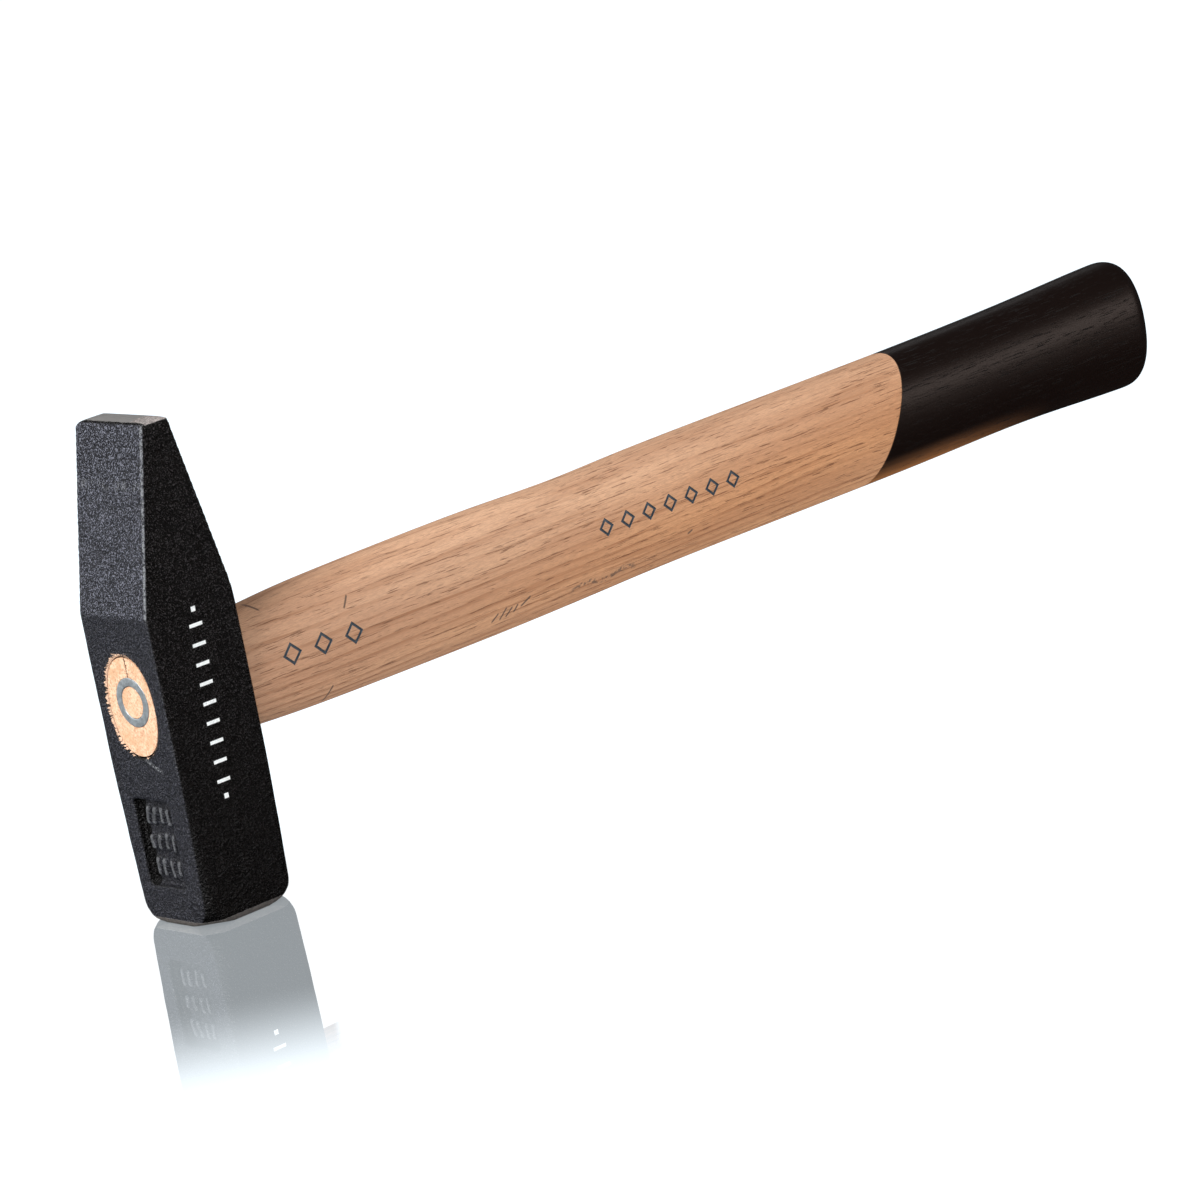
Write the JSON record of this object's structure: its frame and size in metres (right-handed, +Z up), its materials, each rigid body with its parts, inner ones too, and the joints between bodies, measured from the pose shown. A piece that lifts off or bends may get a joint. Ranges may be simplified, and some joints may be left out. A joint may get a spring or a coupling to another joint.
{
  "type": "cross peen hammer",
  "caption": "Cross peen hammer with a black forged head, a straight wooden handle dipped black at the grip, and a steel ring wedge in the eye.",
  "frame": {"origin": "centre of the flat striking face", "axes": "+Z up the head from the striking face to the peen, +X along the handle to the end of the grip, Y across the head from cheek to cheek"},
  "size_m": [0.3, 0.023, 0.105],
  "materials": {
    "forged_steel_black": "fine textured black lacquer over a forged skin, ground bare at the striking face's bevel and the peen's crest",
    "hickory": "sanded and lightly oiled, with the last part of the grip dipped in semi-gloss black lacquer",
    "zinc_steel": "zinc-plated, satin"
  },
  "bodies": {
    "root": {"hammer_head": "forged_steel_black", "handle": "hickory", "ring_wedge": "zinc_steel"}
  },
  "joints": []
}
